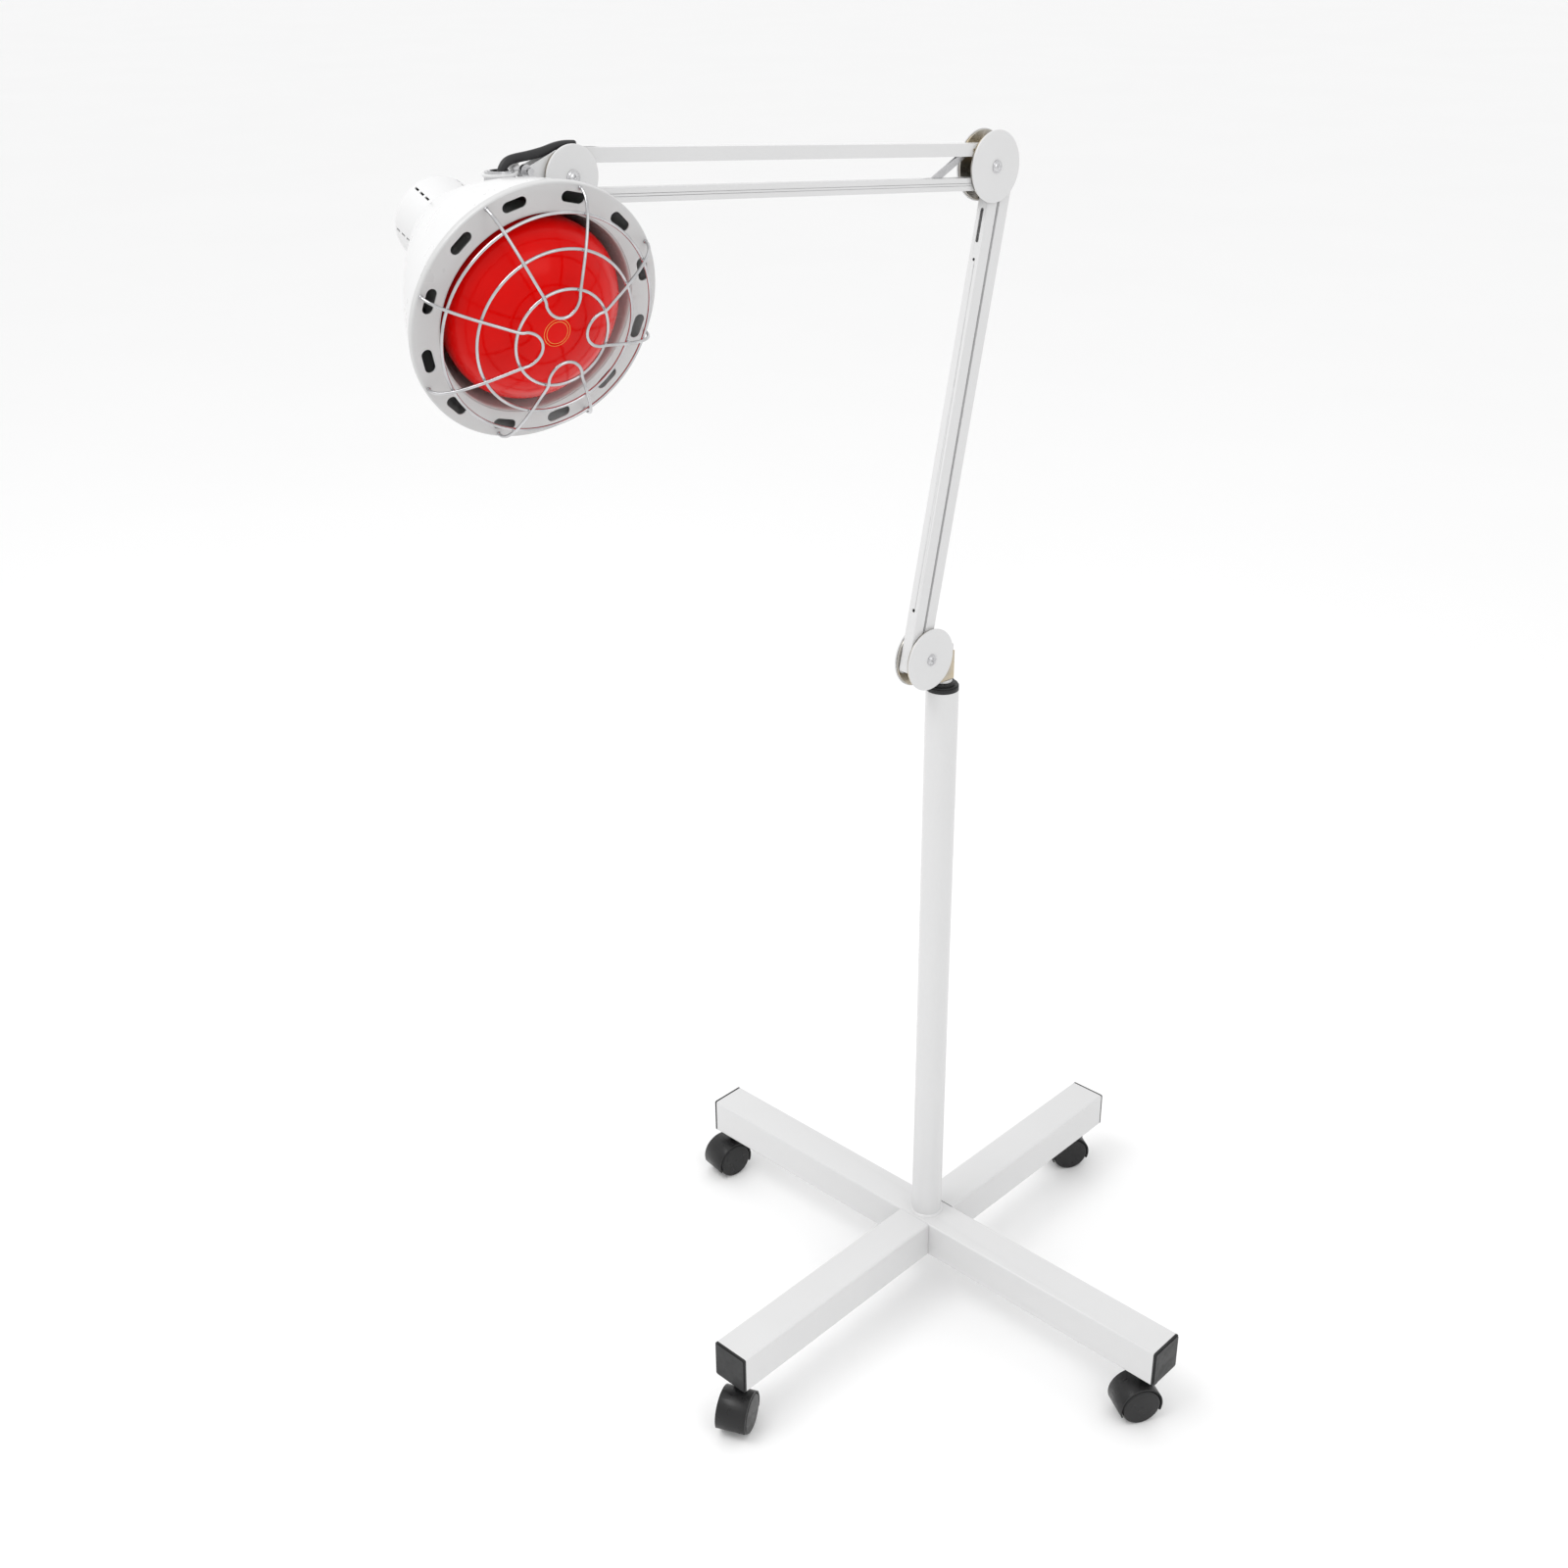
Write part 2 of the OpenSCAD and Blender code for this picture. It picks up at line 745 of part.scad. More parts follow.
module rim_ring() {
    mid = (rim_r + rim_in) / 2;
    color(white) lamp_place() difference() {
        rotate_extrude($fn = 120) polygon([
            [rim_in, 0], [rim_in, -sheet_t], [rim_r - sheet_t, -sheet_t], [rim_r - sheet_t, -5],
            [rim_r, -5], [rim_r, -0.8], [rim_r - 0.8, 0]
        ]);
        for (k = [0:11]) {
            rotate([0, 0, 16 + 30 * k]) translate([mid, 0, -3])
                linear_extrude(6) rotate([0, 0, 90]) obround(17, 7.3);
        }
    }
}

function reflector_r(d) = rim_in - 0.045 * pow(d, 1.45);
module reflector() {
    color([0.9, 0.9, 0.88]) lamp_place() rotate_extrude($fn = 120) polygon(concat(
        [[rim_in - 1, -0.1], [rim_in - eps, -0.1], [rim_in - eps, -2]],
        [for (d = [8:8:88]) [reflector_r(d), -d]],
        [[25, -92], [25, -91]],
        [for (d = [88:-8:8]) [reflector_r(d) - 1.1, -d]]
    ));
}

module socket_can() {
    color(white) lamp_place() difference() {
        rotate_extrude($fn = 96) polygon(concat(
            [[can_r - sheet_t, -shade_end + 4], [can_r, -shade_end + 4]],
            [for (t = [0:15:90]) [can_r - 13 + 13 * cos(t), -148 - 13 * sin(t)]],
            [[0, -161], [0, -161 + sheet_t]],
            [for (t = [90:-15:0]) [can_r - 13 + (13 - sheet_t) * cos(t), -148 - (13 - sheet_t) * sin(t)]]
        ));
        for (k = [0:5], x = [-130, -138, -146]) {
            rotate([0, 0, 5 + 60 * k]) translate([can_r, 0, x]) cube([8, 1.6, 5.4], center = true);
        }
    }
}

module lamp_socket() {
    color([0.9, 0.88, 0.84]) lamp_place() rotate_extrude($fn = 48) {
        polygon([
            [13.6, -120], [18, -120], [20, -122], [20, -148], [17, -152], [8, -152], [8, -159.6], [0, -159.6],
            [0, -152], [0, -150.4], [13.6, -150.4]
        ]);
    }
}

// glass profile: front dome, widest circle 9 mm behind the rim, back, neck
function bulb_front(t, g) = [(bulb_r - g) * sin(t), -9 + (36 - g) * cos(t)];
function bulb_back(t, g) = [bulb_r - g - (bulb_r - 20) * pow(t, 1.8), -9 - 88 * t];
module bulb() {
    color([0.8, 0.05, 0.04]) lamp_place() {
        rotate_extrude($fn = 96) polygon(concat(
            [for (t = [0:9:90]) bulb_front(t, 0)],
            [for (t = [0.1:0.1:1]) bulb_back(t, 0)],
            [[20, -112], [17, -119], [15.5, -119], [18.6, -111]],
            [for (t = [1:-0.1:0.1]) bulb_back(t, 1.4)],
            [for (t = [90:-9:0]) bulb_front(t, 1.4)]
        ));
        rotate_extrude($fn = 48) polygon(concat(
            [[0, -117], [12.4, -117]],
            [for (i = [0:11]) [i % 2 == 0 ? 12.2 : 13.2, -120 - 2 * i]],
            [[9, -145], [5, -147.5], [5, -149.5], [0, -150]]
        ));
    }
}

// guard: [radius, height in front of the rim] of the rings and of a leg
RINGS = [[33.3, 33.5], [56.2, 25], [75.7, 15]];
leg_half = 22.2;
function leg_point(q, a) = [q[0] * cos(a), q[0] * sin(a), q[1]];
LEG = [[87, 0.8], [86.4, 5], [83, 11], [75.7, 17.3], [66, 22.8], [56.2, 27.3], [45, 31.6], [33.3, 35.8]];
function turn(s) = leg_point([33.3 - 17.5 * sin(s), 35.8 + 1.4 * sin(s)], leg_half * cos(s));
function hairpin() = concat(
    [for (q = LEG) leg_point(q, leg_half)],
    [for (s = [20:20:160]) turn(s)],
    [for (i = [len(LEG) - 1:-1:0]) leg_point(LEG[i], -leg_half)]
);
module guard() {
    color(steel) lamp_place() {
        for (q = RINGS) {
            rotate_extrude($fn = 96) translate(q) circle(wire_d / 2, $fn = 12);
        }
        for (k = [0:3]) {
            rotate([0, 0, 6.5 + 90 * k]) swept(hairpin(), wire_d / 2, 10);
        }
    }
}

// hollow spigot on the shade, with its snap ring: the lead runs down through it
module lamp_spigot() {
    color(steel) arm_plane() translate([swivel_u, 0, swivel_z + collar_t + 0.1]) {
        ring(0.85, spigot_r - 0.45, spigot_r + 2);
    }
    color(steel) difference() {
        arm_plane() translate([swivel_u, 0, swivel_z]) difference() {
            union() {
                translate([0, 0, -16]) cylinder(h = 15.8, r = spigot_r + 2.5);
                translate([0, 0, -4]) cylinder(h = 7.2, r = spigot_r);
            }
            translate([0, 0, -30]) cylinder(h = 60, r = spigot_r - spigot_t);
            translate([0, 0, collar_t + 0.05]) ring(0.95, spigot_r - 0.5, spigot_r + 1);
        }
        lamp_place() shade_envelope(0.05);
    }
}

module ring(h, r_in, r_out) {
    difference() {
        cylinder(h = h, r = r_out);
        translate([0, 0, -1]) cylinder(h = h + 2, r = r_in);
    }
}

// ---------- nodes ----------

long_tube();
front_half_tube();
rear_half_tube();
end_caps();
base_bolts();
base_nuts();
castor_sockets();
castor_stems();
pole();
pole_plug();
pole_bolt();
pole_bush();
for (i = [0:3]) {
    castor_place(i) castor_body();
    castor_place(i) castor_axle();
    castor_place(i) castor_wheel(1);
    castor_place(i) castor_wheel(-1);
}
swivel_post();
elbow1_plates();
elbow1_pins();
elbow1_covers();
elbow1_bolt();
lower_front_tube();
lower_rear_tube();
arm_spring_lower();
elbow2_plates();
elbow2_pins();
elbow2_covers();
elbow2_bolt();
upper_top_tube();
upper_bottom_tube();
arm_spring_upper();
pull_strap();
elbow3_plates();
elbow3_pins();
elbow3_covers();
elbow3_bolt();
head_bracket();
clamp_bolt();
wing_nut();
lamp_lead();
lamp_spigot();
shade();
rim_ring();
reflector();
socket_can();
lamp_socket();
bulb();
guard();
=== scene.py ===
"""Looks of the rolling infrared heat lamp: materials, lamp, wire guard, screws, lead, light and camera.

Lengths are in metres in the CAD frame: origin on the floor under the pole, +Z up.
"""
import json
import math
import bmesh
import bpy
from mathutils import Matrix, Vector


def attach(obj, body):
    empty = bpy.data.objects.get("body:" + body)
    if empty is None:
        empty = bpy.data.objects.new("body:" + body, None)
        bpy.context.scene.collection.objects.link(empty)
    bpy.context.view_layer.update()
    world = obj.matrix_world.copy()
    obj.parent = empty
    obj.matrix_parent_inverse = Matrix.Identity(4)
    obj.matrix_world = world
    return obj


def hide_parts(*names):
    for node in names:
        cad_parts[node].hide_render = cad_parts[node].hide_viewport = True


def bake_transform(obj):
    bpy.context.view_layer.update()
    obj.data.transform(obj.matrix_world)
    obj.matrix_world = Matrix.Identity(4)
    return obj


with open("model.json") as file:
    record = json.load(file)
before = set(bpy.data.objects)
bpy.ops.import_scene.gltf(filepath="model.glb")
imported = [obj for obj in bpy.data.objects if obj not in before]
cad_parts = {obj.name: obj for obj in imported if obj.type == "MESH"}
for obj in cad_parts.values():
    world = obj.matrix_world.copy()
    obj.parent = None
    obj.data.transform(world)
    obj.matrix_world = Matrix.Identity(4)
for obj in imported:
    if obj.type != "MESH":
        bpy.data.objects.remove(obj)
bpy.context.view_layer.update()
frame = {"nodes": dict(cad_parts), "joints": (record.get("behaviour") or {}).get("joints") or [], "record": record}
NODES = frame["nodes"]
JOINTS = {j["name"]: j for j in frame["joints"]}
MM = 0.001

# ---------- places worked out from the frame ----------

OUT = (Vector(JOINTS["head_tilt"]["pos_m"]) - Vector(JOINTS["arm_swivel"]["pos_m"]))
OUT = Vector((OUT.x, OUT.y, 0)).normalized()         # out along the arm
ACROSS = Vector(JOINTS["head_tilt"]["axis"]).normalized()    # square to the arm plane
UP = Vector((0, 0, 1))


def in_arm(out, across, up):
    """Millimetres in the arm plane to metres in the frame."""
    return (OUT * out + ACROSS * across + UP * up) * MM


def frame_of(x, z, origin):
    """Matrix whose Z is z, whose X leans to x, with its origin at origin."""
    z = z.normalized()
    x = (x - z * x.dot(z)).normalized()
    m = Matrix((x, z.cross(x), z)).transposed().to_4x4()
    m.translation = origin
    return m


def turned(v, axis, degrees):
    return Matrix.Rotation(math.radians(degrees), 3, axis) @ v


LAMP_AZ = 82.2                                       # heading of the lamp from the arm's, degrees
LAMP_DIP = 16.2                                      # its fall below level, degrees
aim = turned(OUT, UP, LAMP_AZ)
SIDE = UP.cross(aim).normalized()
AIM = turned(aim, SIDE, LAMP_DIP)
LAMP_CENTRE = in_arm(468, 62, 1117)
LAMP = frame_of(SIDE, AIM, LAMP_CENTRE)              # origin in the rim's plane, Z out of the lamp

# ---------- material helpers ----------


class Mat:
    """A node material with a few short helpers."""

    def __init__(self, name, color, rough, metal=0.0):
        self.mat = bpy.data.materials.new(name)
        self.mat.use_nodes = True
        self.tree = self.mat.node_tree
        self.bsdf = next(n for n in self.tree.nodes if n.type == "BSDF_PRINCIPLED")
        self.set("Base Color", (*color, 1))
        self.set("Roughness", rough)
        self.set("Metallic", metal)
        self.coord = self.new("ShaderNodeTexCoord").outputs["Object"]

    def new(self, kind, **props):
        node = self.tree.nodes.new(kind)
        for key, value in props.items():
            setattr(node, key, value)
        return node

    def set(self, socket, value):
        self.bsdf.inputs[socket].default_value = value

    def link(self, a, b):
        self.tree.links.new(a, b)

    def mapped(self, scale=(1, 1, 1)):
        node = self.new("ShaderNodeMapping")
        node.inputs["Scale"].default_value = scale
        self.link(self.coord, node.inputs["Vector"])
        return node.outputs["Vector"]

    def noise(self, scale, detail=3, rough=0.5, stretch=(1, 1, 1)):
        node = self.new("ShaderNodeTexNoise")
        node.inputs["Scale"].default_value = scale
        node.inputs["Detail"].default_value = detail
        node.inputs["Roughness"].default_value = rough
        self.link(self.mapped(stretch), node.inputs["Vector"])
        return node.outputs["Fac"]

    def ramp(self, fac, low, high, color_low, color_high):
        node = self.new("ShaderNodeValToRGB")
        node.color_ramp.elements[0].position = low
        node.color_ramp.elements[1].position = high
        node.color_ramp.elements[0].color = (*color_low, 1)
        node.color_ramp.elements[1].color = (*color_high, 1)
        self.link(fac, node.inputs["Fac"])
        return node.outputs["Color"]

    def span(self, fac, low, high, out_low, out_high):
        node = self.new("ShaderNodeMapRange")
        for key, value in zip(("From Min", "From Max", "To Min", "To Max"), (low, high, out_low, out_high)):
            node.inputs[key].default_value = value
        self.link(fac, node.inputs["Value"])
        return node.outputs["Result"]

    def tint(self, scale, low, high, spread=0.25, stretch=(1, 1, 1)):
        fac = self.noise(scale, 4, 0.55, stretch)
        self.link(self.ramp(fac, 0.5 - spread, 0.5 + spread, low, high), self.bsdf.inputs["Base Color"])

    def rough_noise(self, scale, low, high, stretch=(1, 1, 1)):
        fac = self.noise(scale, 4, 0.6, stretch)
        self.link(self.span(fac, 0.3, 0.7, low, high), self.bsdf.inputs["Roughness"])

    def bump(self, scale, strength, distance=0.0004, detail=2, stretch=(1, 1, 1)):
        node = self.new("ShaderNodeBump")
        node.inputs["Strength"].default_value = strength
        node.inputs["Distance"].default_value = distance
        self.link(self.noise(scale, detail, 0.5, stretch), node.inputs["Height"])
        last = self.bsdf.inputs["Normal"]
        if last.is_linked:
            self.link(last.links[0].from_socket, node.inputs["Normal"])
        self.link(node.outputs["Normal"], last)


def powder_coat(name, color, rough=0.34):
    """White powder coat: faint orange peel, slight gloss changes and a trace of handling grey."""
    m = Mat(name, color, rough)
    m.tint(9, tuple(c * 0.955 for c in color), color, 0.3)
    m.rough_noise(35, rough - 0.05, rough + 0.08)
    m.bump(900, 0.10, 0.0002, 2)
    m.bump(160, 0.05, 0.0004, 2)
    m.set("Coat Weight", 0.25)
    m.set("Coat Roughness", 0.12)
    return m.mat


def moulded(name, color, rough, grain=1400):
    """Moulded plastic with a fine spark grain."""
    m = Mat(name, color, rough)
    m.tint(40, tuple(c * 0.8 for c in color), tuple(min(1, c * 1.25 + 0.004) for c in color), 0.3)
    m.rough_noise(120, rough - 0.06, rough + 0.1)
    m.bump(grain, 0.22, 0.0002, 3)
    m.set("Specular IOR Level", 0.34)
    return m.mat


def plated(name, low, high, rough, stretch=(1, 1, 12), iridescent=None):
    """Plated steel: streaked polish, patchy plating and fine scratches."""
    m = Mat(name, high, rough, 1.0)
    m.tint(60, low, high, 0.28)
    m.rough_noise(70, rough - 0.08, rough + 0.1, stretch)
    m.bump(600, 0.12, 0.0001, 3, stretch)
    if iridescent:
        fac = m.noise(28, 3)
        mix = m.new("ShaderNodeMix", data_type="RGBA")
        source = m.bsdf.inputs["Base Color"].links[0].from_socket
        m.link(m.span(fac, 0.45, 0.68, 0.0, 0.55), mix.inputs["Factor"])
        m.link(source, mix.inputs[6])
        mix.inputs[7].default_value = (*iridescent, 1)
        m.link(mix.outputs[2], m.bsdf.inputs["Base Color"])
    return m.mat


def red_glass(name):
    """Deep red lamp glass with an inner reflective coat that keeps it bright."""
    m = Mat(name, (0.66, 0.001, 0.0005), 0.14)
    m.tint(18, (0.58, 0.0005, 0.0002), (0.72, 0.001, 0.0005), 0.25)
    m.rough_noise(60, 0.12, 0.2)
    m.set("Specular IOR Level", 0.3)
    m.set("Specular Tint", (1.0, 0.42, 0.38, 1))
    m.bump(11, 0.05, 0.002, 1)
    return m.mat


WHITE = powder_coat("white_powder_coat", (0.66, 0.66, 0.662))
SHADE_WHITE = powder_coat("shade_enamel", (0.68, 0.68, 0.682), 0.3)
# Painted shade: the rim ring's white is a darker copy of the shade's white, standing in for the shade on the rim's
# forward face.
RIM_SHADED_WHITE = powder_coat("rim_enamel_painted_shade", (0.54, 0.54, 0.54), 0.3)
# Painted shade: the reflector's white is made darker, standing in for the shade inside the bowl.
REFLECTOR_SHADED_WHITE = powder_coat("reflector_enamel_painted_shade", (0.50, 0.50, 0.495), 0.24)
BLACK = moulded("black_moulding", (0.013, 0.0135, 0.014), 0.42)
NYLON = moulded("black_nylon", (0.010, 0.010, 0.0105), 0.3, 900)
GREY_KNOB = moulded("grey_knob", (0.62, 0.62, 0.61), 0.4)
ZINC = plated("yellow_zinc", (0.36, 0.34, 0.31), (0.58, 0.56, 0.52), 0.32, iridescent=(0.72, 0.56, 0.30))
STEEL = plated("bright_steel", (0.45, 0.45, 0.46), (0.68, 0.68, 0.69), 0.25)
CHROME = plated("chrome_wire", (0.40, 0.40, 0.41), (0.62, 0.62, 0.63), 0.14)
CERAMIC = powder_coat("porcelain", (0.72, 0.70, 0.66), 0.18)
CABLE = moulded("cable_rubber", (0.016, 0.016, 0.017), 0.5, 1100)
GLASS = red_glass("red_lamp_glass")
GILT = plated("gilt_mark", (0.62, 0.30, 0.06), (0.86, 0.52, 0.14), 0.3)

SLOT_MATERIAL = {
    "white_paint": WHITE, "cap_plastic": BLACK, "castor_plastic": NYLON, "zinc_plate": ZINC,
    "steel": STEEL, "chrome_wire": CHROME, "cable": CABLE, "wing_plastic": GREY_KNOB,
    "reflector_white": REFLECTOR_SHADED_WHITE, "ceramic": CERAMIC, "red_glass": GLASS,
}
for row in frame["record"]["subparts"]:
    data = NODES[row["node"]].data
    data.materials.clear()
    data.materials.append(SLOT_MATERIAL[row["material_slot"]])
# The rim ring gets the darker copy of the white: painted shade.
NODES["rim_ring"].data.materials[0] = RIM_SHADED_WHITE
NODES["socket_can"].data.materials[0] = SHADE_WHITE

# ---------- soft edges on the CAD pieces ----------

SOFT_EDGES = {                                       # width of the soft edge, mm
    "long_tube": 0.5, "front_half_tube": 0.5, "rear_half_tube": 0.5, "end_caps": 0.5, "pole_bush": 0.3,
    "swivel_post": 0.3, "elbow1_plates": 0.25, "elbow2_plates": 0.25, "elbow3_plates": 0.25,
    "lower_front_tube": 0.45, "lower_rear_tube": 0.45, "upper_top_tube": 0.45, "upper_bottom_tube": 0.45,
    "pull_strap": 0.2, "head_bracket": 0.3, "wing_nut": 0.6, "rim_ring": 0.3,
    "base_bolts": 0.3, "base_nuts": 0.3,
}
for name in ("front", "right", "left", "rear"):
    SOFT_EDGES["castor_body_" + name] = 0.5


def soften(name, width):
    """Rounds the sharp edges of a CAD piece by a modifier, so its mesh stays as packed."""
    piece = NODES[name]
    weld = piece.modifiers.new("weld", "WELD")
    weld.merge_threshold = 0.00001
    bevel = piece.modifiers.new("edge", "BEVEL")
    bevel.width = width * MM
    bevel.segments = 2
    bevel.limit_method = "ANGLE"
    bevel.angle_limit = math.radians(40)
    bevel.harden_normals = True


for name, width in SOFT_EDGES.items():
    soften(name, width)

# ---------- mesh helpers for the detail pieces ----------


def add_piece(name, verts, faces, material, body, slot, replaced=()):
    """A smooth mesh piece that rides a body and may stand for CAD nodes."""
    mesh = bpy.data.meshes.new(name)
    mesh.from_pydata([tuple(v) for v in verts], [], faces)
    shell = bmesh.new()
    shell.from_mesh(mesh)
    bmesh.ops.recalc_face_normals(shell, faces=shell.faces)
    shell.to_mesh(mesh)
    shell.free()
    mesh.shade_smooth()
    mesh.materials.append(material)
    piece = bpy.data.objects.new(name, mesh)
    bpy.context.scene.collection.objects.link(piece)
    if body:
        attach(piece, body)
    if replaced:
        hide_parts(*replaced)
    return piece


def lathed(profile, matrix, turns=128):
    """An outline [radius, height] in mm turned about matrix's Z, as (verts, faces). Radius 0 is a pole."""
    verts, faces = [], []
    rows = []
    for r, z in profile:
        if r < 1e-6:
            rows.append([len(verts)] * turns)
            verts.append(matrix @ Vector((0, 0, z * MM)))
            continue
        rows.append(range(len(verts), len(verts) + turns))
        for k in range(turns):
            a = 2 * math.pi * k / turns
            verts.append(matrix @ (Vector((r * math.cos(a), r * math.sin(a), z)) * MM))
    for low, high in zip(rows, rows[1:]):
        for k in range(turns):
            n = (k + 1) % turns
            ring = [low[k], low[n], high[n], high[k]]
            face = [v for i, v in enumerate(ring) if v not in ring[:i]]
            if len(face) > 2:
                faces.append(face)
    return verts, faces


def arc(centre, radius, start, end, steps):
    """Points of an arc in an outline, in degrees."""
    out = []
    for k in range(steps + 1):
        a = math.radians(start + (end - start) * k / steps)
        out.append((centre[0] + radius * math.cos(a), centre[1] + radius * math.sin(a)))
    return out


def smooth_path(points, steps=6):
    """Catmull-Rom curve through the points."""
    out = []
    ends = [points[0] * 2 - points[1], *points, points[-1] * 2 - points[-2]]
    for i in range(1, len(ends) - 2):
        a, b, c, d = ends[i - 1:i + 3]
        for k in range(steps):
            s = k / steps
            out.append(0.5 * (2 * b + (c - a) * s + (2 * a - 5 * b + 4 * c - d) * s * s
                              + (3 * b - a - 3 * c + d) * s ** 3))
    return [*out, points[-1]]


def tube(path, radius, sides=14, closed=False):
    """Round tube along a path in metres, its ring carried along without twist."""
    verts, faces = [], []
    count = len(path)
    side = None
    for i, p in enumerate(path):
        before = path[i - 1] if closed or i else path[0]
        after = path[(i + 1) % count] if closed or i < count - 1 else path[-1]
        t = (after - before).normalized()
        side = t.orthogonal() if side is None else side
        side = (side - t * side.dot(t)).normalized()
        up = t.cross(side)
        for k in range(sides):
            a = 2 * math.pi * k / sides
            verts.append(p + (side * math.cos(a) + up * math.sin(a)) * radius)
    for i in range(count if closed else count - 1):
        for k in range(sides):
            a, b = i * sides + k, i * sides + (k + 1) % sides
            c, d = (a + sides) % (count * sides), (b + sides) % (count * sides)
            faces.append([a, b, d, c])
    if not closed:
        faces.append(list(range(sides))[::-1])
        faces.append([(count - 1) * sides + k for k in range(sides)])
    return verts, faces


def joined(parts):
    """Several (verts, faces) as one."""
    verts, faces = [], []
    for v, f in parts:
        base = len(verts)
        verts += v
        faces += [[i + base for i in face] for face in f]
    return verts, faces


# ---------- shade, reflector and bulb ----------

SHADE_END = 116                                      # depth of the shade behind the rim, mm
SHEET = 1.2                                          # wall of the shade, mm
CAN_R = 31.2                                         # hole in the shade for the socket housing, mm
RIM_IN = 70.3                                        # inner radius of the rim ring, mm
REFLECTOR_DEPTH = 92                                 # mm
REFLECTOR_HOLE = 25                                  # radius of the hole in its back, mm
BULB_R = 62.5                                        # radius of the bulb at its widest, mm
BULB_Z = -9                                          # height of its widest circle from the rim, mm
DOME_H = 36                                          # height of its front dome, mm
FLANK_H = 88                                         # length from its widest circle to its neck, mm
NECK_R = 20                                          # radius where its neck starts, mm
CAP_START = -118.5                                   # height of the top of its screw cap, mm
THREAD_R = 12.6                                      # middle radius of the cap's thread, mm
THREAD_PITCH = 3.6                                   # mm
MARK_RADII = (9.4, 7.6)                              # the two rings of the mark on its crown, mm
MARK_HALF = 0.22                                     # half the width of a ring, mm


def shade_r(d):
    return 88 - 0.082 * d ** 1.355


outer = [(shade_r(d), -d) for d in range(4, SHADE_END - 2, 4)]
inner = [(r - SHEET * 1.1, z) for r, z in outer]
back = shade_r(SHADE_END - 5)
crown = [(back - 2.2, 2.4 - SHADE_END), (back - 5, 0.9 - SHADE_END), (back - 9, 0.1 - SHADE_END)]
crown.append((CAN_R, -SHADE_END))
lip = [(86.9, -1.4), (87.8, -1.4), (88, -2.2)]
shade_outline = [*reversed(inner), *lip, *outer, *crown, (CAN_R, SHEET - SHADE_END), inner[-1]]
add_piece("shade_shell", *lathed(shade_outline, LAMP), SHADE_WHITE, "lamp", "white_paint", ("shade",))


def reflector_r(d):
    return RIM_IN - 0.045 * d ** 1.45


front = [(reflector_r(d), -d) for d in range(4, 90, 4)]
bowl = [(r - 1, z + 0.2) for r, z in front]
edge = [(RIM_IN - 0.9, -0.4), (RIM_IN - 0.1, -0.4)]
hole = [(REFLECTOR_HOLE, -REFLECTOR_DEPTH), (REFLECTOR_HOLE, 1 - REFLECTOR_DEPTH)]
bowl_outline = [*reversed(bowl), *edge, *front, *hole, bowl[-1]]
# The reflector bowl carries the darkened white, painted shade for the inside of the bowl.
add_piece("reflector_bowl", *lathed(bowl_outline, LAMP), REFLECTOR_SHADED_WHITE, "lamp", "reflector_white", ("reflector",))

dome = [(0, BULB_Z + DOME_H)]
for a in range(3, 91, 3):
    dome.append((BULB_R * math.sin(math.radians(a)), BULB_Z + DOME_H * math.cos(math.radians(a))))
flank = [(BULB_R - (BULB_R - NECK_R) * (k / 24) ** 1.8, BULB_Z - FLANK_H * k / 24) for k in range(1, 25)]
neck = [(19.6, -103), (19.6, -110), (17.4, -116), (15, -119), (0, -119)]
add_piece("bulb_glass", *lathed([*dome, *flank, *neck], LAMP), GLASS, "lamp", "red_glass", ("bulb",))

thread = []
for z in range(22):
    thread.append((THREAD_R + 0.5 * math.cos(2 * math.pi * z / THREAD_PITCH), -120 - z))
contact = [(11, -143), (8.5, -145), (5, -147.5), (5, -149.5), (0, -149.8)]
cap = [(0, CAP_START), (12.4, CAP_START), *thread, *contact]
add_piece("bulb_cap", *lathed(cap, LAMP, 64), STEEL, "lamp", "steel")

mark = []
for r in MARK_RADII:
    z = BULB_Z + DOME_H * math.sqrt(1 - (r / BULB_R) ** 2) + 0.02
    mark.append(lathed([(r - MARK_HALF, z - 0.1), (r, z + 0.12), (r + MARK_HALF, z - 0.1)], LAMP, 96))
add_piece("bulb_ring_mark", *joined(mark), GILT, "lamp", "steel")

# ---------- wire guard ----------

WIRE = 1.1 * MM                                      # radius of the wire
RINGS = ((33.3, 33.5), (56.2, 25), (75.7, 15))       # radius, height in front of the rim, mm
LEG = (                                              # the same of points up a leg
    (87, 0.9), (86.4, 5), (83, 11), (75.7, 17.3), (66, 22.8), (56.2, 27.3), (45, 31.6), (33.3, 35.8),
)
LEG_HALF = 22.2                                      # degrees from a hairpin's middle to a leg
BEND_R = 16                                          # radius that a hairpin's bend reaches in to, mm
BEND_RISE = 1.4                                      # rise of the bend's crown over the leg's end, mm
FIRST_HAIRPIN = 6.5                                  # degrees from the lamp's X to the first hairpin's middle
CROSSING_UP = 1.15                                   # height of a weld over its ring's middle line, mm
CROSSING_BEAD = 1.25                                 # radius of the weld bead at a crossing, mm
FOOT = (86.9, 0.6)                                   # radius and height of the weld at a leg's foot, mm
FOOT_BEAD = 1.5                                      # radius of that weld bead, mm


def lamp_point(r, height, angle):
    a = math.radians(angle)
    return LAMP @ (Vector((r * math.cos(a), r * math.sin(a), height)) * MM)


def hairpin(middle):
    """Middle line of one hairpin: up a leg, round its bend and down the other leg."""
    points = [lamp_point(r, h, middle + LEG_HALF) for r, h in LEG]
    foot = LEG[-1][0] * math.cos(math.radians(LEG_HALF))
    half = LEG[-1][0] * math.sin(math.radians(LEG_HALF))
    for s in range(20, 161, 20):
        w, across = math.sin(math.radians(s)), half * math.cos(math.radians(s))
        out = foot - (foot - BEND_R) * w
        angle = middle + math.degrees(math.atan2(across, out))
        points.append(lamp_point(math.hypot(out, across), LEG[-1][1] + BEND_RISE * w, angle))
    return smooth_path([*points, *(lamp_point(r, h, middle - LEG_HALF) for r, h in reversed(LEG))], 4)


